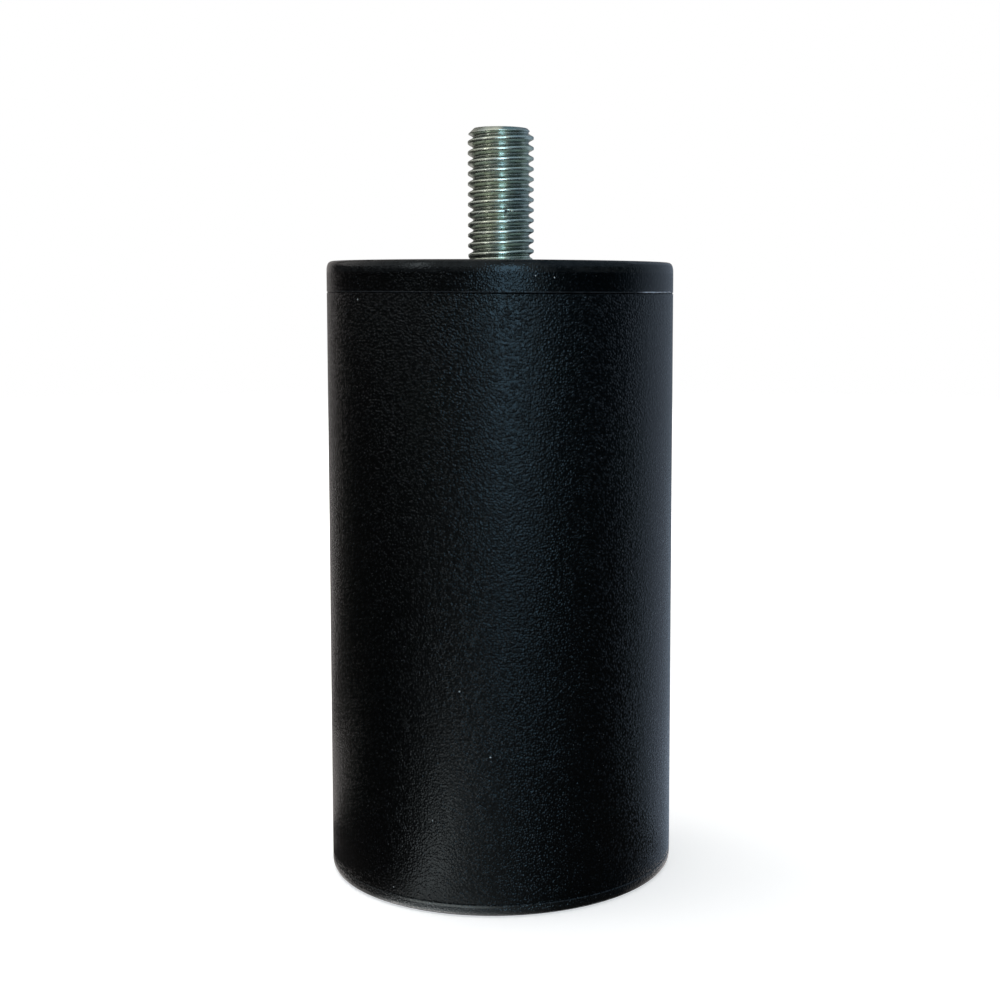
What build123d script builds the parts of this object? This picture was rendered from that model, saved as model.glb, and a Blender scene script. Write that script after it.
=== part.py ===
from build123d import *
import os
from math import cos, pi, radians, sin, tan

# Furniture leg: a coated steel tube closed by two moulded caps, with an M10 screw held in the top cap.
# Millimetres. +Z runs up the leg's axis, and the origin is the centre of the foot's lower face.

# Whole leg
leg_height = 90.0  # from the foot to the face that meets the furniture
tube_diameter = 51.0
tube_wall = 1.5
tube_edge_break = 0.12  # deburred outer rim of each cut end

# Both caps: a flange as wide as the tube, and a hollow plug that its grip ribs centre in the bore
plug_wall = 2.0
plug_clearance = 0.6  # between the plug's wall and the bore
rib_clearance = 0.1  # between a rib's crest and the bore
rib_width = 1.8  # across the rib's root
rib_crest_width = 0.4
rib_count = 12
lead_in = 1.0  # how far the plug's free end tapers in from its wall
seam_edge_break = 0.12  # flange's edge where it meets the tube
flange_rounding_limit = 0.9  # most of a flange's straight side that its rounding may take

# Top cap
top_flange_height = 4.5
shoulder_radius = 2.5  # soft blend up from the flange's side
shoulder_angle = 20.0  # how far the soft blend turns before the rim's tighter arc takes over
rim_radius = 0.7
top_plate = 3.0  # over the plug's hollow
top_plug_length = 14.0
web_count = 6
web_thickness = 2.0
web_setback = 1.5  # from the shorter of the boss and the plug to the webs' free edges
boss_wall = 2.5  # around the corners of the head's pocket
boss_lip = 1.0  # from the head's outer face to the boss's free end

# Foot cap
foot_flange_height = 1.8
foot_edge_radius = 1.0
foot_plate = 2.5
foot_plug_length = 12.0

# Fixing screw
thread_diameter = 10.0
thread_projection = 19.5  # above the top cap
thread_chamfer = 1.0
thread_runout = 1.0  # from the top cap to the first full thread
shank_diameter = 9.4
clamped_thickness = 10.5  # of cap between the head and the top face
head_across_flats = 16.0
head_height = 6.4
head_chamfer_angle = 30.0
thread_clearance = 0.1  # radial, in the cap's hole
head_clearance = 0.1  # at each flat, in the cap's pocket

# Radii and heights that follow
tube_radius = tube_diameter / 2
bore_radius = tube_radius - tube_wall
plug_radius = bore_radius - plug_clearance
plug_inner_radius = plug_radius - plug_wall
top_seat = leg_height - top_flange_height
foot_seat = foot_flange_height
plate_underside = leg_height - top_plate
head_seat = leg_height - clamped_thickness
head_face = head_seat - head_height
head_corner_radius = head_across_flats / 2 / cos(pi / 6)
boss_end = head_face - boss_lip
boss_radius = head_corner_radius + head_clearance + boss_wall
thread_radius = thread_diameter / 2
shank_radius = shank_diameter / 2
screw_tip = leg_height + thread_projection


def cap_section(seat, outward, flange_height, plate, plug_length):
    """Half section of a cap that sits on the tube's end at seat. outward is 1 if the cap faces up, or -1."""
    face = seat + outward * flange_height
    plug_end = seat - outward * plug_length
    with BuildSketch(Plane.XZ) as section:
        with BuildLine():
            Polyline(
                (0, face),
                (tube_radius, face),
                (tube_radius, seat + outward * seam_edge_break),
                (tube_radius - seam_edge_break, seat),
                (plug_radius, seat),
                (plug_radius, plug_end),
                (plug_inner_radius, plug_end),
                (plug_inner_radius, face - outward * plate),
                (0, face - outward * plate),
                close=True,
            )
        make_face()
    return section.sketch


def grip_ribs(base):
    """Tapered ribs round a plug, on the plane at height base, each rooted half way into the plug's wall."""
    root = plug_radius - plug_wall / 2
    crest = bore_radius - rib_clearance
    with BuildSketch(Plane.XY.offset(base)) as ribs:
        with PolarLocations(0, rib_count):
            Polygon(
                (root, -rib_width / 2),
                (crest, -rib_crest_width / 2),
                (crest, rib_crest_width / 2),
                (root, rib_width / 2),
                align=None,
            )
    return ribs.sketch


def lead_in_section(plug_end, outward):
    """What the 45 degree lead-in takes off a plug's free end, ribs included."""
    depth = plug_clearance + lead_in
    with BuildSketch(Plane.XZ) as section:
        with BuildLine():
            Polyline(
                (bore_radius - depth, plug_end),
                (bore_radius, plug_end),
                (bore_radius, plug_end + outward * depth),
                close=True,
            )
        make_face()
    return section.sketch


def flange_fillet_radius(radius, flange_height):
    """The rounding of a flange's edge, kept clear of the seam below it."""
    return min(radius, flange_rounding_limit * (flange_height - seam_edge_break))


def shoulder_section(seat, flange_height):
    """What the rounding takes off the flange's edge: a soft arc up the side, then a tight one at the rim."""
    turn = radians(shoulder_angle)
    height = shoulder_radius * sin(turn) + rim_radius * (1 - sin(turn))
    share = min(1, flange_rounding_limit * (flange_height - seam_edge_break) / height)
    soft = shoulder_radius * share
    tight = rim_radius * share
    face = seat + flange_height
    start = face - height * share
    rim_centre = (tube_radius - soft + (soft - tight) * cos(turn), start + (soft - tight) * sin(turn))
    with BuildSketch(Plane.XZ) as section:
        with BuildLine():
            CenterArc((tube_radius - soft, start), soft, 0, shoulder_angle)
            CenterArc(rim_centre, tight, shoulder_angle, 90 - shoulder_angle)
            Polyline((rim_centre[0], face), (tube_radius, face), (tube_radius, start))
        make_face()
    return section.sketch


# Body: a length of steel tube, deburred at both ends
with BuildPart() as leg_tube:
    with BuildSketch(Plane.XY.offset(foot_seat)):
        Circle(tube_radius)
        Circle(bore_radius, mode=Mode.SUBTRACT)
    extrude(amount=top_seat - foot_seat)
    rims = leg_tube.edges().filter_by(GeomType.CIRCLE).group_by(SortBy.RADIUS)[-1]
    chamfer(rims, tube_edge_break)

# Top cap: flange and ribbed plug, with a boss on webs that carries the screw's head in a hexagonal pocket
top_plug_end = top_seat - top_plug_length
web_end = max(boss_end, top_plug_end) + web_setback
with BuildPart() as top_cap:
    revolve(cap_section(top_seat, 1, top_flange_height, top_plate, top_plug_length), axis=Axis.Z)
    extrude(grip_ribs(top_plug_end), amount=top_plug_length)
    revolve(lead_in_section(top_plug_end, 1), axis=Axis.Z, mode=Mode.SUBTRACT)
    with BuildSketch(Plane.XY.offset(boss_end)):
        Circle(boss_radius)
    extrude(amount=plate_underside - boss_end)
    with BuildSketch(Plane.XY.offset(web_end)):
        with PolarLocations(0, web_count):
            Rectangle(plug_inner_radius + plug_wall / 2, web_thickness, align=(Align.MIN, Align.CENTER))
    extrude(amount=plate_underside - web_end)
    with BuildSketch(Plane.XY.offset(boss_end)):
        RegularPolygon(head_across_flats / 2 + head_clearance, 6, major_radius=False)
    extrude(amount=head_seat - boss_end, mode=Mode.SUBTRACT)
    with Locations((0, 0, leg_height)):
        Hole(thread_radius + thread_clearance)
    revolve(shoulder_section(top_seat, top_flange_height), axis=Axis.Z, mode=Mode.SUBTRACT)

# Foot cap: a thin flange that stands on the floor, and the same ribbed plug
foot_plug_end = foot_seat + foot_plug_length
with BuildPart() as base_cap:
    revolve(cap_section(foot_seat, -1, foot_flange_height, foot_plate, foot_plug_length), axis=Axis.Z)
    extrude(grip_ribs(foot_seat), amount=foot_plug_length)
    revolve(lead_in_section(foot_plug_end, -1), axis=Axis.Z, mode=Mode.SUBTRACT)
    foot_rim = base_cap.faces().sort_by(Axis.Z)[0].outer_wire().edges()
    fillet(foot_rim, flange_fillet_radius(foot_edge_radius, foot_flange_height))

# Fixing screw: hexagon head with turned corners, reduced shank in the cap, and the threaded length above it
with BuildPart() as stud_bolt:
    with BuildSketch(Plane.XY.offset(head_face)):
        RegularPolygon(head_across_flats / 2, 6, major_radius=False)
    extrude(amount=head_height)
    corner_drop = (head_corner_radius - head_across_flats / 2) * tan(radians(head_chamfer_angle))
    with BuildSketch(Plane.XZ):
        with BuildLine():
            Polyline(
                (0, head_face),
                (head_across_flats / 2, head_face),
                (head_corner_radius, head_face + corner_drop),
                (head_corner_radius, head_seat),
                (0, head_seat),
                close=True,
            )
        make_face()
    revolve(axis=Axis.Z, mode=Mode.INTERSECT)
    with BuildSketch(Plane.XZ):
        with BuildLine():
            Polyline(
                (0, head_seat),
                (shank_radius, head_seat),
                (shank_radius, leg_height),
                (thread_radius, leg_height + thread_runout),
                (thread_radius, screw_tip - thread_chamfer),
                (thread_radius - thread_chamfer, screw_tip),
                (0, screw_tip),
                close=True,
            )
        make_face()
    revolve(axis=Axis.Z)

leg_tube.part.label = "leg_tube"
top_cap.part.label = "top_cap"
base_cap.part.label = "base_cap"
stud_bolt.part.label = "stud_bolt"

os.makedirs("parts", exist_ok=True)
export_step(leg_tube.part, "parts/leg_tube.step")
export_step(top_cap.part, "parts/top_cap.step")
export_step(base_cap.part, "parts/base_cap.step")
export_step(stud_bolt.part, "parts/stud_bolt.step")
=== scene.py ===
import math

import bmesh
import bpy
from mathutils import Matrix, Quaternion, Vector, noise


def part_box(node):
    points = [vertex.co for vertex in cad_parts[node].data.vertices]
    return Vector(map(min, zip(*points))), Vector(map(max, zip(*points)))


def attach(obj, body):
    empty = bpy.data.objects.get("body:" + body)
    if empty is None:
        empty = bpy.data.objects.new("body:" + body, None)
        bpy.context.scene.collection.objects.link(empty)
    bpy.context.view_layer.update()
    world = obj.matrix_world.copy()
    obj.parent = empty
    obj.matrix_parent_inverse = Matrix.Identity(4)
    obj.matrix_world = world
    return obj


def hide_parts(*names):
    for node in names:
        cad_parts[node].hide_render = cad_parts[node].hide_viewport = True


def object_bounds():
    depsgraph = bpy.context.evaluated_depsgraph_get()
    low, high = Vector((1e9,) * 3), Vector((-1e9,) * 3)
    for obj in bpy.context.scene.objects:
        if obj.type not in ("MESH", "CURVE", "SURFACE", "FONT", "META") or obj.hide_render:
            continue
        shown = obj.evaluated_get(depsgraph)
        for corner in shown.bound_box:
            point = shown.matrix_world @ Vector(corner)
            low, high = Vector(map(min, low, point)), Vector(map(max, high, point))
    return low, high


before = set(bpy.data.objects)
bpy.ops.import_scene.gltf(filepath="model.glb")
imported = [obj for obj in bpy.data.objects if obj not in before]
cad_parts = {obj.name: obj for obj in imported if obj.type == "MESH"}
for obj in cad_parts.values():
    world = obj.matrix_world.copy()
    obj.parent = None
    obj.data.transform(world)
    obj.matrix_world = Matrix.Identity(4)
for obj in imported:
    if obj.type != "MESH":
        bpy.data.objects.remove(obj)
cad_low, cad_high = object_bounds()

# Looks of the furniture leg. Metres, in the frame of the solids: +Z up the leg, the foot on z = 0.
MM = 0.001
TOP_FACE_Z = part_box("top_cap")[1].z
tube_low, tube_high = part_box("leg_tube")
screw_low, screw_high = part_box("stud_bolt")
FLOOR_Z, FOOT_SEAM_Z, CAP_SEAM_Z = cad_low.z, tube_low.z, tube_high.z
CENTRE = Vector((0, 0, (FLOOR_Z + TOP_FACE_Z) / 2))


# ---------------------------------------------------------------- node helpers

def new_material(name):
    """An empty node material and its tree, with an output node."""
    material = bpy.data.materials.new(name)
    material.use_nodes = True
    tree = material.node_tree
    tree.nodes.clear()
    return material, tree, tree.nodes.new("ShaderNodeOutputMaterial")


def node(tree, kind, inputs=None, **settings):
    """A node of one kind. A value in inputs that is a socket is linked, and any other is set."""
    made = tree.nodes.new("ShaderNode" + kind)
    for name, value in settings.items():
        setattr(made, name, value)
    for name, value in (inputs or {}).items():
        socket = made.inputs[name]
        if isinstance(value, bpy.types.NodeSocket):
            tree.links.new(value, socket)
        else:
            socket.default_value = value
    return made


def math_node(tree, operation, first, second):
    """Two values, or a socket and a value, put through one operation."""
    return node(tree, "Math", {0: first, 1: second}, operation=operation).outputs[0]


def times(tree, first, *others):
    """All the values multiplied together."""
    for other in others:
        first = math_node(tree, "MULTIPLY", first, other)
    return first


def map_range(tree, value, low, high, to_low, to_high, smooth=False):
    """The value, moved from the range low to high into to_low to to_high, and held at its ends."""
    made = node(tree, "MapRange", {"Value": value, "From Min": low, "From Max": high,
                                   "To Min": to_low, "To Max": to_high})
    made.interpolation_type = "SMOOTHSTEP" if smooth else "LINEAR"
    return made.outputs["Result"]


def band(tree, value, rise, fall, smooth_rise=True):
    """1 between two ramps, each given as the values where it starts and ends, and 0 outside them."""
    return times(tree, map_range(tree, value, *fall, 1.0, 0.0, smooth=True),
                 map_range(tree, value, *rise, 0.0, 1.0, smooth=smooth_rise))


MIX_FACTOR, MIX_FIRST, MIX_SECOND, MIX_RESULT = 0, 6, 7, 2  # the Mix node's sockets when it mixes colours


def mix_colour(tree, factor, first, second):
    """The first colour at factor 0, the second at 1."""
    made = node(tree, "Mix", data_type="RGBA")
    for index, value in ((MIX_FACTOR, factor), (MIX_FIRST, first), (MIX_SECOND, second)):
        if isinstance(value, bpy.types.NodeSocket):
            tree.links.new(value, made.inputs[index])
        else:
            made.inputs[index].default_value = value
    return made.outputs[MIX_RESULT]


def object_coordinates(tree):
    """Places in metres on the piece itself, which are the same as in the frame."""
    return node(tree, "TexCoord").outputs["Object"]


# ------------------------------------------------------------------- materials

# Partly a painted reflection colour: this tint carries some of the window light's blue.
SHEEN = (0.75, 0.93, 1.0, 1)  # the faint blue of the black coatings' reflections
# Of the colours below, the flecks, the shoulder's grey, the edge's grey and white and the lip's pale are
# painted highlights. The chips and pits are real marks.
GLINT_FLECK_PAINT = (0.060, 0.062, 0.064, 1)
SHOULDER_HIGHLIGHT_GREY = (0.011, 0.011, 0.011, 1)
CHIP_PAINT = (0.55, 0.57, 0.58, 1)
PIT_PAINT = (0.0005, 0.0005, 0.0005, 1)
EDGE_HIGHLIGHT_GREY = (0.022, 0.023, 0.025, 1)
EDGE_GLINT_PAINT = (0.50, 0.53, 0.60, 1)
LIP_HIGHLIGHT_PAINT = (0.090, 0.088, 0.078, 1)
ZINC_WARM, ZINC_COOL = (0.505, 0.57, 0.465, 1), (0.43, 0.50, 0.46, 1)
# The dark colour is painted shade in the roots and also darker streaks, and the nicks' bright zinc is partly
# a painted highlight.
ZINC_SHADE_AND_GRIME, BARE_ZINC_AND_GLINT = (0.10, 0.11, 0.10, 1), (0.85, 0.86, 0.82, 1)


def marked(tree, place, colour, marks, paint):
    """Small marks on a surface, each given as the X, Y and Z of its centre and its radius, in millimetres."""
    for x, y, z, radius in marks:
        centre = (x * MM, y * MM, z * MM)
        away = node(tree, "VectorMath", {0: place, 1: centre}, operation="DISTANCE")
        spot = map_range(tree, away.outputs["Value"], radius * 0.55 * MM, radius * MM, 1.0, 0.0, smooth=True)
        colour = mix_colour(tree, spot, colour, paint)
    return colour


def front_side(tree, parts):
    """1 on the front of the leg and 0 behind, from its separated coordinates."""
    return map_range(tree, parts.outputs["Y"], -6.0 * MM, -8.0 * MM, 0.0, 1.0, smooth=True)


def parting_line(tree, place, colour, height):
    """The top cap's sharp lower edge, with a painted highlight: grey all round, and near white at the front
    right.
    """
    parts = node(tree, "SeparateXYZ", {0: place})
    edge = band(tree, parts.outputs["Z"], (height + 0.05 * MM, height + 0.13 * MM),
                (height + 0.16 * MM, height + 0.30 * MM), smooth_rise=False)
    broken = node(tree, "TexNoise", {"Vector": place, "Scale": 900.0, "Detail": 2.0}).outputs["Fac"]
    # Painted highlight along the edge: grey all round, and near white at the front right
    painted_edge_highlight = times(tree, edge, map_range(tree, broken, 0.35, 0.65, 0.45, 1.0))
    colour = mix_colour(tree, painted_edge_highlight, colour, EDGE_HIGHLIGHT_GREY)
    side = map_range(tree, parts.outputs["X"], 18.6 * MM, 20.6 * MM, 0.0, 1.0, smooth=True)
    return mix_colour(tree, times(tree, front_side(tree, parts), side, painted_edge_highlight), colour, EDGE_GLINT_PAINT)


def foot_lip(tree, place, colour, height):
    """The foot cap's upper edge, with a painted highlight at the front left."""
    parts = node(tree, "SeparateXYZ", {0: place})
    edge = band(tree, parts.outputs["Z"], (height - 0.44 * MM, height - 0.38 * MM),
                (height - 0.17 * MM, height - 0.10 * MM))
    along = band(tree, parts.outputs["X"], (-15.0 * MM, -11.0 * MM), (-5.0 * MM, 1.5 * MM))
    # Painted highlight along the edge at the front left
    return mix_colour(tree, times(tree, edge, along, front_side(tree, parts)), colour, LIP_HIGHLIGHT_PAINT)


FOLD_SHARE, DOME_SHARE = 0.32, 0.68  # how much of the grain's relief is loose folds, and how much round tops


def pebbles(tree, place, size):
    """Height of a dense pebbled grain, from 0 in its creases to 1 on its tops."""
    folds = node(tree, "TexNoise", {"Vector": place, "Scale": 1.0 / size, "Detail": 1.0, "Roughness": 0.35})
    domes = node(tree, "TexVoronoi", {"Vector": place, "Scale": 0.78 / size, "Randomness": 0.9})
    fold = map_range(tree, folds.outputs["Fac"], 0.36, 0.64, 0.0, 1.0, smooth=True)
    dome = map_range(tree, domes.outputs["Distance"], 0.10, 0.62, 1.0, 0.0, smooth=True)
    return math_node(tree, "ADD", times(tree, fold, FOLD_SHARE), times(tree, dome, DOME_SHARE))


def coated(name, grain_size, grain_height, base, roughness, specular,
           smooth_above=None, edge_height=None, lip_height=None, chips=(), pits=()):
    """Black surface with a pebbled grain: glossy on the tops, with a painted highlight, and dull in the
    creases, with painted shade.

    Above smooth_above it is smoother, and greyed as a painted highlight. The heights place the caps' edges,
    which carry painted highlights, where a cap has one, and chips and pits are single marks.
    """
    material, tree, output = new_material(name)
    place = object_coordinates(tree)
    grain = pebbles(tree, place, grain_size)

    patch = node(tree, "TexNoise", {"Vector": place, "Scale": 70.0, "Detail": 3.0})
    # Painted highlight on the grain's tops and painted shade in its creases
    painted_top_light = times(tree, math_node(tree, "POWER", grain, 3.0),
                 map_range(tree, patch.outputs["Fac"], 0.3, 0.7, 0.7, 1.3))
    creases, tops = [c * 0.1 for c in base], [c * 5.0 for c in base]
    colour = mix_colour(tree, painted_top_light, (*creases, 1), (*tops, 1))
    # Painted glints: sparse pale flecks that stand in for the grain's sparkle
    cells = node(tree, "TexVoronoi", {"Vector": place, "Scale": 1.0 / (3.2 * grain_size)})
    painted_glints = map_range(tree, cells.outputs["Distance"], 0.05, 0.09, 1.0, 0.0, smooth=True)
    colour = mix_colour(tree, painted_glints, colour, GLINT_FLECK_PAINT)

    bump_share, dull_share = 1.0, 1.0
    if smooth_above is not None:
        up = node(tree, "SeparateXYZ", {0: place}).outputs["Z"]
        start, end = smooth_above - 0.1 * MM, smooth_above + 0.3 * MM
        bump_share = map_range(tree, up, start, end, 1.0, 0.5, smooth=True)
        dull_share = map_range(tree, up, start, end, 1.0, 0.6, smooth=True)
        # Painted highlight: the smoother shoulder is greyed, and the grey is broken up by noise
        highlight_breakup = node(tree, "TexNoise", {"Vector": place, "Scale": 1100.0, "Detail": 3.0}).outputs["Fac"]
        painted_shoulder_highlight = times(tree, map_range(tree, up, start, end, 0.0, 1.0, smooth=True),
                       map_range(tree, highlight_breakup, 0.35, 0.65, 0.35, 1.0))
        colour = mix_colour(tree, painted_shoulder_highlight, colour, SHOULDER_HIGHLIGHT_GREY)
    if edge_height is not None:
        colour = parting_line(tree, place, colour, edge_height)
    if lip_height is not None:
        colour = foot_lip(tree, place, colour, lip_height)
    colour = marked(tree, place, colour, chips, CHIP_PAINT)
    colour = marked(tree, place, colour, pits, PIT_PAINT)

    bump = node(tree, "Bump", {"Strength": bump_share, "Distance": grain_height, "Height": grain})
    dull = times(tree, map_range(tree, grain, 0.15, 0.75, roughness * 2.0, roughness * 0.7), dull_share)
    shader = node(tree, "BsdfPrincipled", {"Base Color": colour, "Roughness": dull, "IOR": 1.5,
                                           "Specular IOR Level": specular, "Specular Tint": SHEEN,
                                           "Normal": bump.outputs[0]})
    tree.links.new(shader.outputs[0], output.inputs["Surface"])
    return material


def zinc_plate(name, nicks):
    """Bright zinc: a faint yellow-green to blue film, rolling marks with darker streaks, bare nicks painted
    bright as a highlight, and painted shade in the roots.
    """
    material, tree, output = new_material(name)
    place = object_coordinates(tree)
    film = node(tree, "TexNoise", {"Vector": place, "Scale": 260.0, "Detail": 3.0, "Distortion": 0.6})
    clean = mix_colour(tree, map_range(tree, film.outputs["Fac"], 0.35, 0.65, 0.0, 1.0), ZINC_WARM, ZINC_COOL)

    stretched = node(tree, "Mapping", {"Vector": place, "Scale": (1.0, 1.0, 4.0)})
    rolled = node(tree, "TexNoise", {"Vector": stretched.outputs[0], "Scale": 900.0, "Detail": 1.0})
    marks = rolled.outputs["Fac"]
    level = node(tree, "VectorMath", {0: place, 1: (1.0, 1.0, 0.0)}, operation="MULTIPLY")
    reach = node(tree, "VectorMath", {0: level.outputs[0]}, operation="LENGTH").outputs["Value"]
    root = THREAD_RADIUS - THREAD_DEPTH
    # Painted shade in the thread's roots, and darker streaks along the rolling marks
    out_of_root = map_range(tree, reach, root + 0.05 * MM, root + 0.45 * THREAD_DEPTH, 0.62, 1.0, smooth=True)
    streak = map_range(tree, marks, 0.32, 0.52, 0.72, 1.0)
    colour = mix_colour(tree, times(tree, out_of_root, streak), ZINC_SHADE_AND_GRIME, clean)
    # The bare nicks are painted brighter than bare zinc, partly as a painted highlight
    colour = marked(tree, place, colour, nicks, BARE_ZINC_AND_GLINT)

    bump = node(tree, "Bump", {"Strength": 0.9, "Distance": 0.034 * MM, "Height": marks})
    dull = map_range(tree, marks, 0.3, 0.7, 0.37, 0.21)
    shader = node(tree, "BsdfPrincipled", {"Base Color": colour, "Metallic": 1.0, "Roughness": dull,
                                           "Normal": bump.outputs[0]})
    tree.links.new(shader.outputs[0], output.inputs["Surface"])
    return material


def background_rays(tree):
    """1 for the rays that show the background: the camera's, reflected ones and ones through glass."""
    path = node(tree, "LightPath")
    seen = math_node(tree, "ADD", path.outputs["Is Camera Ray"], path.outputs["Is Glossy Ray"])
    seen = math_node(tree, "ADD", seen, path.outputs["Is Transmission Ray"])
    return math_node(tree, "MINIMUM", seen, 1.0)


WHITE = (1, 1, 1, 1)
ROOM_LIGHT = (0.20, 0.21, 0.22, 1)
FLOOR_DARKER, FLOOR_PALER = (0.85, 0.82, 0.79, 1), (0.89, 0.86, 0.83, 1)
FLOOR_LIFT = 0.56  # how much of the floor's white is its own near the leg, where the lamps add the rest


def pale_floor(name, radius):
    """A plain pale surface that keeps shadows near the leg, and runs out into the white background."""
    material, tree, output = new_material(name)
    place = object_coordinates(tree)
    grain = node(tree, "TexNoise", {"Vector": place, "Scale": 90.0, "Detail": 2.0})
    colour = mix_colour(tree, grain.outputs["Fac"], FLOOR_DARKER, FLOOR_PALER)
    surface = node(tree, "BsdfDiffuse", {"Color": colour})
    spread = node(tree, "VectorMath", {0: place}, operation="LENGTH").outputs["Value"]
    lift = times(tree, background_rays(tree),
                 map_range(tree, spread, 0.05, 0.40, FLOOR_LIFT, 1.0, smooth=True))
    glow = node(tree, "Emission", {"Color": WHITE, "Strength": lift})
    lit = node(tree, "AddShader", {0: surface.outputs[0], 1: glow.outputs[0]})
    fade = map_range(tree, spread, radius * 0.6, radius * 0.95, 1.0, 0.0, smooth=True)
    clear = node(tree, "BsdfTransparent")
    blend = node(tree, "MixShader", {0: fade, 1: clear.outputs[0], 2: lit.outputs[0]})
    tree.links.new(blend.outputs[0], output.inputs["Surface"])
    return material


def card_paint(name, colour):
    """The tone of a grey card, which changes slowly along it."""
    material, tree, output = new_material(name)
    tone = node(tree, "Attribute", attribute_name="tone").outputs["Fac"]
    glow = node(tree, "Emission", {"Color": (*colour, 1), "Strength": tone})
    tree.links.new(glow.outputs[0], output.inputs["Surface"])
    return material


# ------------------------------------------------------------------ the screw

THREAD_PITCH = 1.5 * MM
THREAD_RADIUS = 4.86 * MM  # at the crests
THREAD_DEPTH = 0.76 * MM  # from crest to root
CREST_HALF = 0.10  # half the crest's flat, in pitches
ROOT_START = 0.45  # where the root's flat begins, in pitches from the crest's middle
FLANK_CURVE = 0.65  # how far the flanks go from straight, at 0, to a smooth S, at 1
RUNOUT = 1.3 * MM  # over which the thread fades into the shank at the cap's face
TIP_CHAMFER = 0.9 * MM
SHANK_RADIUS = 4.7 * MM
HEAD_HEIGHT = 6.4 * MM
LEFT_CREST_Z = TOP_FACE_Z + 17.41 * MM  # a crest's height where the thread passes the -X side
WAVER = 0.012 * MM  # how uneven the rolled surface is
WAVER_SCALE = 2.3  # how closely: waves per millimetre up the screw, and per radian round it
KNOCK_Z = TOP_FACE_Z + 7.2 * MM
KNOCK_TURN = 0.778  # in turns from the +X side
KNOCK_LENGTH, KNOCK_HALF_WIDTH, KNOCK_DEPTH = 1.0 * MM, 0.3 * MM, 0.22 * MM
KNOCK_START = -0.15  # where its sharp left end is, in its own lengths from KNOCK_TURN
COLUMNS, ROWS_PER_PITCH = 200, 16  # of the thread's mesh


def ease(share):
    """A share from 0 to 1, eased in and out."""
    return share * share * (3 - 2 * share)


def thread_radius(z, turn):
    """Radius of the thread at height z, where turn counts revolutions from the +X side."""
    along = (z - LEFT_CREST_Z) / THREAD_PITCH - (turn - 0.5)
    away = abs(along - round(along))
    fall = min(max((away - CREST_HALF) / (ROOT_START - CREST_HALF), 0.0), 1.0)
    fall = (1 - FLANK_CURVE) * fall + FLANK_CURVE * ease(fall)
    into = ease(min(max((z - TOP_FACE_Z) / RUNOUT, 0.0), 1.0))
    crest = SHANK_RADIUS + (THREAD_RADIUS - SHANK_RADIUS) * into
    radius = crest - THREAD_DEPTH * fall * into
    return min(radius, THREAD_RADIUS - TIP_CHAMFER + (screw_high.z - z))


def dent(z, turn):
    """How far a knock on one crest has pushed it in: a short flat, deepest at its left end."""
    along = (turn - KNOCK_TURN) * 2 * math.pi * THREAD_RADIUS / KNOCK_LENGTH
    flat = max(0.0, 1 - along) if along > KNOCK_START else 0.0
    return KNOCK_DEPTH * flat * math.exp(-((z - KNOCK_Z) / KNOCK_HALF_WIDTH) ** 2)


def place_mesh(name, mesh):
    """A new object in the scene that takes over a bmesh."""
    data = bpy.data.meshes.new(name)
    mesh.to_mesh(data)
    mesh.free()
    made = bpy.data.objects.new(name, data)
    bpy.context.scene.collection.objects.link(made)
    return made


def add_thread(mesh, start):
    """The threaded length and the shank down to start, as one closed skin whose rows follow the helix."""
    step = THREAD_PITCH / ROWS_PER_PITCH
    first = start - THREAD_PITCH
    rows = math.ceil((screw_high.z - first) / step) + 2
    grid = []
    for row in range(rows):
        line = []
        for column in range(COLUMNS):
            turn = column / COLUMNS
            angle = turn * 2 * math.pi
            z = first + row * step + turn * THREAD_PITCH
            spot = Vector((math.cos(angle), math.sin(angle), z / MM)) * WAVER_SCALE
            radius = thread_radius(z, turn) - dent(z, turn) + WAVER * noise.noise(spot)
            line.append(mesh.verts.new((radius * math.cos(angle), radius * math.sin(angle), z)))
        grid.append(line)
    for row in range(rows - 1):
        for column in range(COLUMNS - 1):
            mesh.faces.new((grid[row][column], grid[row][column + 1],
                            grid[row + 1][column + 1], grid[row + 1][column]))
        across = row + ROWS_PER_PITCH  # one turn on, the last column meets the first, a pitch higher
        if across + 1 < rows:
            mesh.faces.new((grid[row][-1], grid[across][0], grid[across + 1][0], grid[row + 1][-1]))
    for height, side in ((start, -1), (screw_high.z, 1)):
        everything = mesh.verts[:] + mesh.edges[:] + mesh.faces[:]
        bmesh.ops.bisect_plane(mesh, geom=everything, dist=1e-9, plane_co=(0, 0, height),
                               plane_no=(0, 0, side), clear_outer=True)
    bmesh.ops.holes_fill(mesh, edges=[edge for edge in mesh.edges if edge.is_boundary])


def add_head(mesh, seat):
    """Hexagon head with its corners turned off at the lower face."""
    corner = screw_high.x
    flat = corner * math.cos(math.pi / 6)
    drop = (corner - flat) * math.tan(math.pi / 6)
    rings = []
    turns = [k * math.pi / 3 for k in range(6)]
    for z, reach in ((seat, corner), (screw_low.z + drop, corner), (screw_low.z, flat)):
        rings.append([mesh.verts.new((reach * math.cos(a), reach * math.sin(a), z)) for a in turns])
    for upper, lower in zip(rings, rings[1:]):
        for k in range(6):
            mesh.faces.new((upper[k], lower[k], lower[(k + 1) % 6], upper[(k + 1) % 6]))
    mesh.faces.new(rings[0])
    mesh.faces.new(rings[-1][::-1])


def make_screw():
    """The whole fixing screw as one piece, smooth on its thread and flat on its head and ends."""
    mesh = bmesh.new()
    seat = screw_low.z + HEAD_HEIGHT
    add_thread(mesh, seat)
    add_head(mesh, seat)
    bmesh.ops.recalc_face_normals(mesh, faces=mesh.faces[:])
    screw = place_mesh("fixing_screw", mesh)
    for face in screw.data.polygons:
        face.use_smooth = abs(face.normal.z) < 0.999 and len(face.vertices) <= 5
    return screw


# ----------------------------------------------------------------- the studio

FLOOR_RADIUS = 1.2


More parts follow.
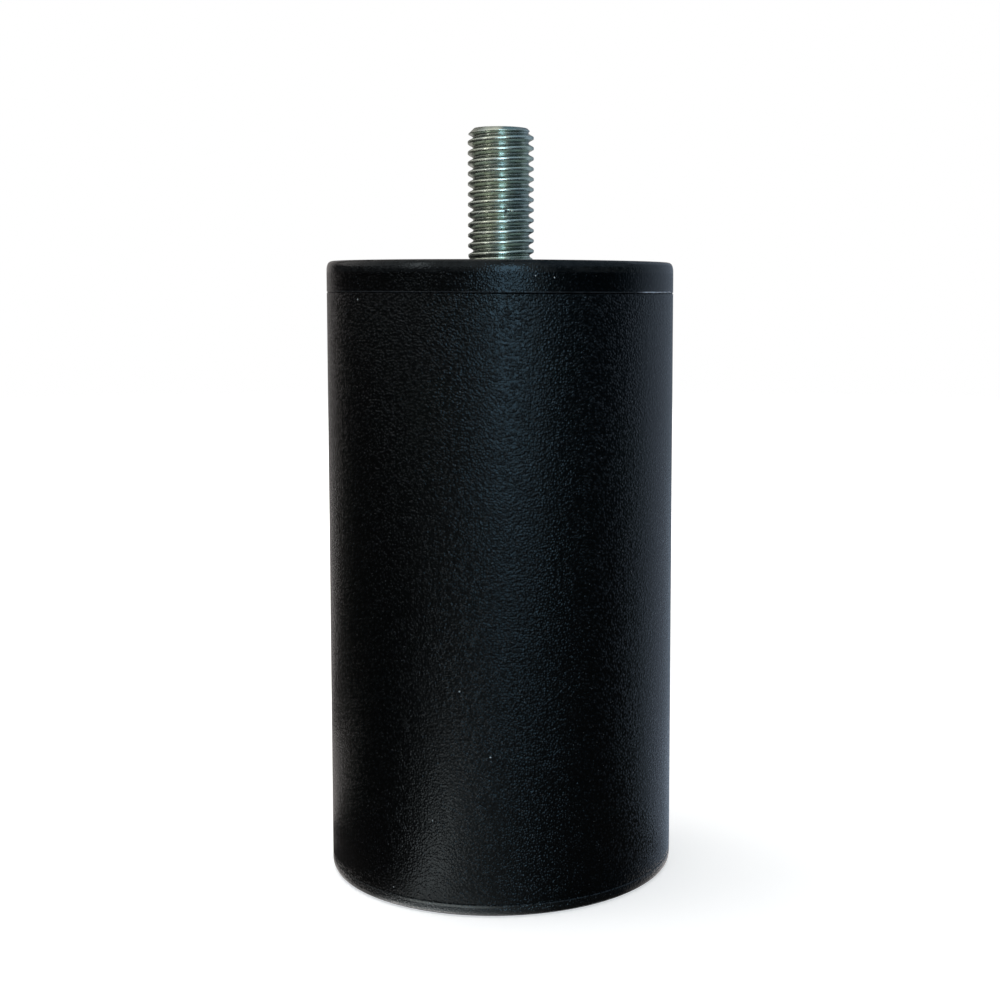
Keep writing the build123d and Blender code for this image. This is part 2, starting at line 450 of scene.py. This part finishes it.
def make_floor():
    """A flat round sheet under the foot."""
    mesh = bmesh.new()
    bmesh.ops.create_circle(mesh, cap_ends=True, radius=FLOOR_RADIUS, segments=64)
    floor = place_mesh("floor", mesh)
    floor.location.z = FLOOR_Z
    floor.data.materials.append(pale_floor("floor_white", FLOOR_RADIUS))


def softbox(name, azimuth, elevation, distance, width, height, radiance, colour, mirrored=True):
    """A soft rectangular lamp that faces the leg's centre. Azimuth 0 is the camera's side and 90 is +X."""
    a, e = math.radians(azimuth), math.radians(elevation)
    away = Vector((math.sin(a) * math.cos(e), -math.cos(a) * math.cos(e), math.sin(e)))
    lamp = bpy.data.lights.new(name, "AREA")
    lamp.shape = "RECTANGLE"
    lamp.size, lamp.size_y = width, height
    lamp.energy = radiance * math.pi * width * height
    lamp.color = colour
    lit = bpy.data.objects.new(name, lamp)
    lit.location = CENTRE + away * distance
    lit.rotation_mode = "QUATERNION"
    lit.rotation_quaternion = away.to_track_quat("Z", "Y")
    lit.visible_camera = False
    lit.visible_glossy = mirrored
    bpy.context.scene.collection.objects.link(lit)


CARD_STEP = 5  # about how many degrees lie between a card's rows


def grey_card(name, heights, radii, colour, tones):
    """A curved card round the leg that only reflections see.

    heights and radii are those of its two long edges. tones gives its brightness at some azimuths, which run
    as for softbox, and it changes evenly between them.
    """
    mesh = bmesh.new()
    layer = mesh.verts.layers.float.new("tone")
    rows = []
    for (start, first), (end, last) in zip(tones, tones[1:]):
        steps = max(2, round((end - start) / CARD_STEP))
        for step in range(steps + 1 if end == tones[-1][0] else steps):
            a = math.radians(start + (end - start) * step / steps)
            row = [mesh.verts.new((radius * math.sin(a), -radius * math.cos(a), z))
                   for radius, z in zip(radii, heights)]
            for vertex in row:
                vertex[layer] = first + (last - first) * step / steps
            rows.append(row)
    for here, there in zip(rows, rows[1:]):
        mesh.faces.new((here[0], there[0], there[1], here[1]))
    card = place_mesh(name, mesh)
    card.data.materials.append(card_paint(name, colour))
    card.visible_camera = False
    card.visible_diffuse = False
    card.visible_shadow = False
    card.visible_transmission = False


def make_world():
    """White to the camera and in reflections, and a dim even room for what it lights."""
    world = bpy.data.worlds.new("room")
    bpy.context.scene.world = world
    world.use_nodes = True
    tree = world.node_tree
    tree.nodes.clear()
    colour = mix_colour(tree, background_rays(tree), ROOM_LIGHT, WHITE)
    background = node(tree, "Background", {"Color": colour, "Strength": 1.0})
    output = tree.nodes.new("ShaderNodeOutputWorld")
    tree.links.new(background.outputs[0], output.inputs["Surface"])


CAMERA_DISTANCE, CAMERA_HEIGHT = 238.6 * MM, 86.0 * MM  # from the leg's axis, and above the floor
CAMERA_PITCH, CAMERA_YAW, CAMERA_ROLL = 5.225, 3.5, 0.20  # degrees down, to the right and anticlockwise
FOCAL_LENGTH, SENSOR_WIDTH = 57.58, 36.0  # in millimetres, as the camera takes them
FRAME_SHIFT = (-0.0988, -0.064)  # the framing is cut a little off the lens's axis


def make_camera():
    """The view that the photograph was taken from."""
    data = bpy.data.cameras.new("camera")
    data.lens = FOCAL_LENGTH
    data.sensor_width = SENSOR_WIDTH
    data.clip_start = 0.01
    data.shift_x, data.shift_y = FRAME_SHIFT
    camera = bpy.data.objects.new("camera", data)
    camera.location = (0, -CAMERA_DISTANCE, CAMERA_HEIGHT)
    camera.rotation_mode = "QUATERNION"
    camera.rotation_quaternion = (Quaternion((0, 0, 1), math.radians(-CAMERA_YAW))
                                  @ Quaternion((1, 0, 0), math.radians(90 - CAMERA_PITCH))
                                  @ Quaternion((0, 0, 1), math.radians(CAMERA_ROLL)))
    bpy.context.scene.collection.objects.link(camera)
    bpy.context.scene.camera = camera


def dress(name, material):
    """Gives a CAD node its finish."""
    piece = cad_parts[name]
    piece.data.materials.clear()
    piece.data.materials.append(material)


# ------------------------------------------------------------ the leg's pieces

# Single marks: X, Y and Z of each centre and its radius, in millimetres
BARE_NICKS = ((0.72, -4.85, 97.02, 0.20), (0.95, -4.80, 97.12, 0.24), (1.22, -4.75, 97.25, 0.20))
TUBE_CHIPS = ((-19.72, -16.17, 84.55, 0.12), (-1.57, -25.45, 22.59, 0.11), (-5.75, -24.84, 31.63, 0.11),
              (-9.55, -23.64, 13.32, 0.10), (-15.17, -20.49, 2.81, 0.10))
TUBE_PITS = ((23.10, -10.80, 3.12, 0.16), (22.55, -11.91, 3.08, 0.14))
CAP_CHIPS = ((4.57, -25.09, 87.85, 0.10), (7.11, -24.49, 87.60, 0.10), (15.70, -20.10, 89.43, 0.13))
COAT_BLACK, FOOT_BLACK = (0.0009, 0.0011, 0.0014), (0.0014, 0.0014, 0.0014)
SHOULDER_DROP = 1.75 * MM  # how far down from the top face the cap's smoother shoulder, greyed as a painted highlight, reaches

dress("leg_tube", coated("tube_coating", grain_size=0.28 * MM, grain_height=0.070 * MM, base=COAT_BLACK,
                         roughness=0.13, specular=0.195, chips=TUBE_CHIPS, pits=TUBE_PITS))
dress("top_cap", coated("top_cap_plastic", grain_size=0.27 * MM, grain_height=0.036 * MM, base=COAT_BLACK,
                        roughness=0.12, specular=0.148, smooth_above=TOP_FACE_Z - SHOULDER_DROP,
                        edge_height=CAP_SEAM_Z, chips=CAP_CHIPS))
dress("base_cap", coated("foot_cap_plastic", grain_size=0.27 * MM, grain_height=0.066 * MM, base=FOOT_BLACK,
                         roughness=0.15, specular=0.42, lip_height=FOOT_SEAM_Z))

screw = make_screw()
screw.data.materials.append(zinc_plate("zinc_plating", BARE_NICKS))
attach(screw, "root")
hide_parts("stud_bolt")

# ----------------------------------------------------------- stage and lights

make_floor()
make_world()
make_camera()

# The two radii of a card that stands up, of one overhead, and of the rings that lie on the floor
WALL, OVERHEAD = (0.5, 0.5), (0.02, 0.5)
LIP, TOE, NEAR, FAR = (0.02525, 0.0262), (0.0262, 0.031), (0.031, 0.085), (0.085, 0.5)
# The heights of one overhead and of the rings, and the cards' tints
CEILING, ON_FLOOR = (0.9, 0.9), (FLOOR_Z + 0.3 * MM, FLOOR_Z + 0.3 * MM)
NEUTRAL, COOL, BLUE = (1.07, 1.0, 0.97), (0.64, 0.78, 0.98), (0.42, 0.74, 1.0)
grey_card("card_low_left", (0.0, 0.19), WALL, NEUTRAL,
          [(-136, 0.02), (-95, 0.05), (-60, 0.10), (-12, 0.16)])
grey_card("card_mid_left", (0.19, 0.42), WALL, NEUTRAL,
          [(-136, 0.8), (-80, 0.9), (-62, 1.0), (-60, 5.0), (-53, 5.0), (-51, 0.9), (-38, 0.95), (-12, 1.1)])
grey_card("card_high_left", (0.42, 0.75), WALL, NEUTRAL, [(-136, 0.7), (-12, 0.8)])
grey_card("card_overhead", CEILING, OVERHEAD, NEUTRAL, [(-190, 1.0), (0, 1.0)])
grey_card("card_low_right", (0.0, 0.24), WALL, BLUE, [(26, 0.16), (50, 0.10), (78, 0.07), (92, 0.2)])
grey_card("card_high_right", (0.24, 0.9), WALL, COOL, [(26, 0.8), (92, 0.8)])
grey_card("card_back_right", (0.0, 0.9), WALL, COOL,
          [(92, 0.3), (110, 0.76), (130, 0.64), (150, 0.4), (165, 0.36)])
grey_card("card_back_left", (0.0, 0.9), WALL, NEUTRAL,
          [(165, 0.36), (202, 0.36), (213, 0.36), (219, 0.10), (224, 0.03)])
grey_card("card_top_right", CEILING, OVERHEAD, BLUE, [(0, 0.3), (25, 0.55), (90, 0.5), (170, 0.3)])
# The rings on the floor are seen only in reflections. Their dark stretches to the front right are a painted
# shadow of the leg on the floor, and their brighter stretches are painted light on it.
grey_card("card_toe_left", ON_FLOOR, TOE, NEUTRAL, [(170, 0.4), (250, 0.3), (270, 0.05)])
grey_card("card_toe_front", ON_FLOOR, TOE, NEUTRAL,
          [(-90, 0.05), (-58, 0.07), (-50, 0.12), (-40, 0.5), (-30, 1.4), (-14, 1.5), (-6, 0.8), (4, 0.35),
           (14, 0.15), (25, 0.05), (40, 0.05)])
grey_card("card_toe_right", ON_FLOOR, TOE, COOL, [(40, 0.05), (56, 0.12), (66, 0.4), (78, 0.6), (170, 0.6)])
grey_card("card_lip", ON_FLOOR, LIP, NEUTRAL,
          [(-150, 1.0), (-75, 1.2), (-58, 0.6), (-46, 0.5), (-36, 2.5), (-22, 3.0), (-8, 1.5), (4, 0.5),
           (16, 0.08), (42, 0.06), (54, 0.5), (70, 1.2), (150, 1.2), (210, 1.0)])
grey_card("card_near_front", ON_FLOOR, NEAR, NEUTRAL,
          [(-102, 0.03), (-50, 0.06), (-40, 0.3), (-34, 3.4), (-27, 3.4), (-20, 0.6), (-4, 0.4),
           (14, 0.1), (86, 0.04)])
grey_card("card_near_right", ON_FLOOR, NEAR, COOL, [(86, 0.4), (95, 0.7), (165, 0.7)])
grey_card("card_near_left", ON_FLOOR, NEAR, NEUTRAL, [(165, 0.5), (241, 0.5), (250, 0.10), (260, 0.03)])
grey_card("card_far_front", ON_FLOOR, FAR, NEUTRAL,
          [(-134, 0.03), (-64, 0.04), (-38, 0.26), (-8, 0.2), (14, 0.1), (80, 0.05), (94, 0.12)])
grey_card("card_far_right", ON_FLOOR, FAR, COOL, [(94, 0.3), (110, 0.7), (165, 0.5)])
grey_card("card_far_left", ON_FLOOR, FAR, NEUTRAL, [(165, 0.5), (210, 0.5), (216, 0.22), (226, 0.05)])

softbox("window", azimuth=5, elevation=13, distance=0.6, width=0.155, height=0.28, radiance=7.5,
        colour=(0.47, 0.77, 1.03))
softbox("overhead", azimuth=-110, elevation=76, distance=0.95, width=0.7, height=1.1, radiance=2.7,
        colour=(1.0, 1.0, 1.0), mirrored=False)
bpy.context.scene.view_settings.view_transform = "Standard"
